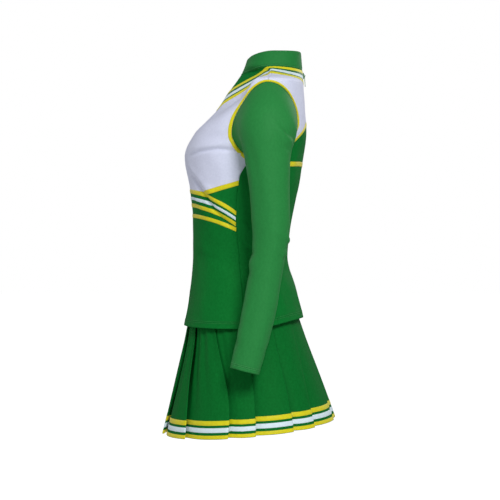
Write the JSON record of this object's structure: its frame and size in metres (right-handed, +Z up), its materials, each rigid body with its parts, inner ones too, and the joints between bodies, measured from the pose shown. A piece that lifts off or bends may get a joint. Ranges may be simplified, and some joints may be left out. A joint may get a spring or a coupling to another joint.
{
  "type": "cheer uniform",
  "caption": "Long-sleeved cheer top with a stand collar, striped neck braid and chevron ribbons, over a knife-pleated skirt with ribbon hem stripes.",
  "frame": {"origin": "middle of the waist opening, where the wearer's waist holds the skirt up", "axes": "+Z up, the front of the garment faces -Y, the wearer's left is +X"},
  "size_m": [0.4878, 0.3456, 0.7571],
  "materials": {
    "green_cloth": "smooth matt stretch knit",
    "white_cloth": "smooth matt stretch knit",
    "yellow_ribbon": "satin ribbon",
    "white_ribbon": "satin ribbon",
    "striped_braid": "woven braid in five stripes of yellow, green, white, green and yellow",
    "elastic": "ribbed knit elastic",
    "zip_coil": "moulded nylon coil",
    "zip_enamel": "gloss enamel on zinc",
    "steel_wire": "nickel plated wire"
  },
  "bodies": {
    "skirt": {"skirt_front": "green_cloth", "hem_yellow_lower_front": "yellow_ribbon", "hem_white_front": "white_ribbon", "hem_yellow_upper_front": "yellow_ribbon", "skirt_back": "green_cloth", "hem_yellow_lower_back": "yellow_ribbon", "hem_white_back": "white_ribbon", "hem_yellow_upper_back": "yellow_ribbon", "waistband": "green_cloth", "waist_elastic": "elastic"},
    "top": {"front_lower_panel": "green_cloth", "front_bust_panel": "white_cloth", "neck_insert": "green_cloth", "back_panel_left": "green_cloth", "back_panel_right": "green_cloth", "back_yoke_left": "white_cloth", "back_yoke_right": "white_cloth", "side_panel_left": "green_cloth", "side_panel_right": "green_cloth", "neck_braid_front": "striped_braid", "neck_braid_back_left": "striped_braid", "neck_braid_back_right": "striped_braid", "chevron_yellow_upper": "yellow_ribbon", "chevron_white": "white_ribbon", "chevron_yellow_middle": "yellow_ribbon", "chevron_yellow_lower": "yellow_ribbon", "bust_band_left": "yellow_ribbon", "bust_band_right": "yellow_ribbon", "yoke_band_left": "yellow_ribbon", "yoke_band_right": "yellow_ribbon", "back_stripe": "yellow_ribbon", "armhole_trim_left": "yellow_ribbon", "armhole_trim_right": "yellow_ribbon", "top_hem_turnup": "green_cloth", "stand_collar": "green_cloth", "zip_coil": "zip_coil", "zip_tape": "green_cloth", "zip_stop": "zip_enamel", "collar_hook": "steel_wire", "collar_eye": "steel_wire"},
    "sleeve_left": {"sleeve_cap_left": "green_cloth", "sleeve_left": "green_cloth", "cuff_hem_left": "green_cloth"},
    "sleeve_right": {"sleeve_cap_right": "green_cloth", "sleeve_right": "green_cloth", "cuff_hem_right": "green_cloth"},
    "zip_slider": {"zip_slider": "zip_enamel"},
    "pull_tab": {"pull_tab": "zip_enamel"}
  },
  "joints": [
    {"name": "top_lift", "type": "slide", "parent": "skirt", "child": "top", "axis": [0, 0, 1], "range_m": [0, 0.42]},
    {"name": "sleeve_left_swing", "type": "hinge", "parent": "top", "child": "sleeve_left", "pos_m": [0.165, 0.045, 0.268], "axis": [-1, 0, 0], "range_deg": [-30, 90]},
    {"name": "sleeve_right_swing", "type": "hinge", "parent": "top", "child": "sleeve_right", "pos_m": [-0.165, 0.045, 0.268], "axis": [-1, 0, 0], "range_deg": [-30, 90]},
    {"name": "zip_slide", "type": "slide", "parent": "top", "child": "zip_slider", "axis": [0, 0.0642, -0.9979], "range_m": [0, 0.118]},
    {"name": "pull_tab_lift", "type": "hinge", "parent": "zip_slider", "child": "pull_tab", "pos_m": [0, 0.12698, 0.37226], "axis": [1, 0, 0], "range_deg": [0, 150]}
  ]
}
